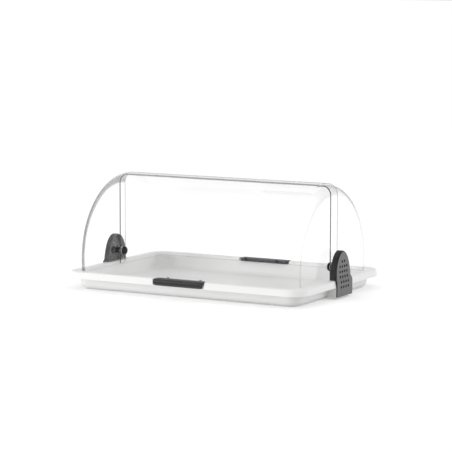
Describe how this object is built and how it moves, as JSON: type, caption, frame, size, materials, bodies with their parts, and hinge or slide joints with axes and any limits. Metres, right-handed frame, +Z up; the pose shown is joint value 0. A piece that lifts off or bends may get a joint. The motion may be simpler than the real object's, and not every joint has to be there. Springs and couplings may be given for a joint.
{
  "type": "roll top display case",
  "caption": "Countertop roll top display case: shallow moulded tray with nested clear barrel covers that swing open to front and rear about one pivot line between two end brackets.",
  "frame": {"origin": "middle of the tray's underside, on the surface the case stands on", "axes": "+X along the case's length and its pivot line, +Z up, -Y to the front, where the outer cover and its handle are"},
  "size_m": [0.5936, 0.408, 0.2443],
  "materials": {
    "white_plastic": "smooth moulded, soft gloss",
    "clear_plastic": "clear, polished",
    "grip_plastic": "moulded, fine satin",
    "grey_plastic": "moulded, fine texture",
    "knob_plastic": "moulded, semi gloss",
    "nylon": "natural, slightly translucent",
    "steel": "plain zinc-plated",
    "brass": "turned"
  },
  "bodies": {
    "base": {"tray": "white_plastic", "right_bracket": "grey_plastic", "right_bracket_screw_near": "steel", "right_bracket_screw_far": "steel", "right_threaded_insert": "brass", "right_pivot_bush": "nylon", "right_pivot_stud": "steel", "right_cover_washer": "nylon", "right_knob_washer": "nylon", "right_knob": "knob_plastic", "left_bracket": "grey_plastic", "left_bracket_screw_near": "steel", "left_bracket_screw_far": "steel", "left_threaded_insert": "brass", "left_pivot_bush": "nylon", "left_pivot_stud": "steel", "left_cover_washer": "nylon", "left_knob_washer": "nylon", "left_knob": "knob_plastic"},
    "front_lid": {"front_cover": "clear_plastic", "front_handle": "grip_plastic", "front_handle_screw_1": "steel", "front_handle_screw_2": "steel"},
    "rear_lid": {"rear_cover": "clear_plastic", "rear_handle": "grip_plastic", "rear_handle_screw_1": "steel", "rear_handle_screw_2": "steel"}
  },
  "joints": [
    {"name": "front_lid_hinge", "type": "hinge", "parent": "base", "child": "front_lid", "pos_m": [0, 0, 0.0643], "axis": [-1, 0, 0], "range_deg": [0, 45]},
    {"name": "rear_lid_hinge", "type": "hinge", "parent": "base", "child": "rear_lid", "pos_m": [0, 0, 0.0643], "axis": [-1, 0, 0], "range_deg": [-45, 0]}
  ]
}
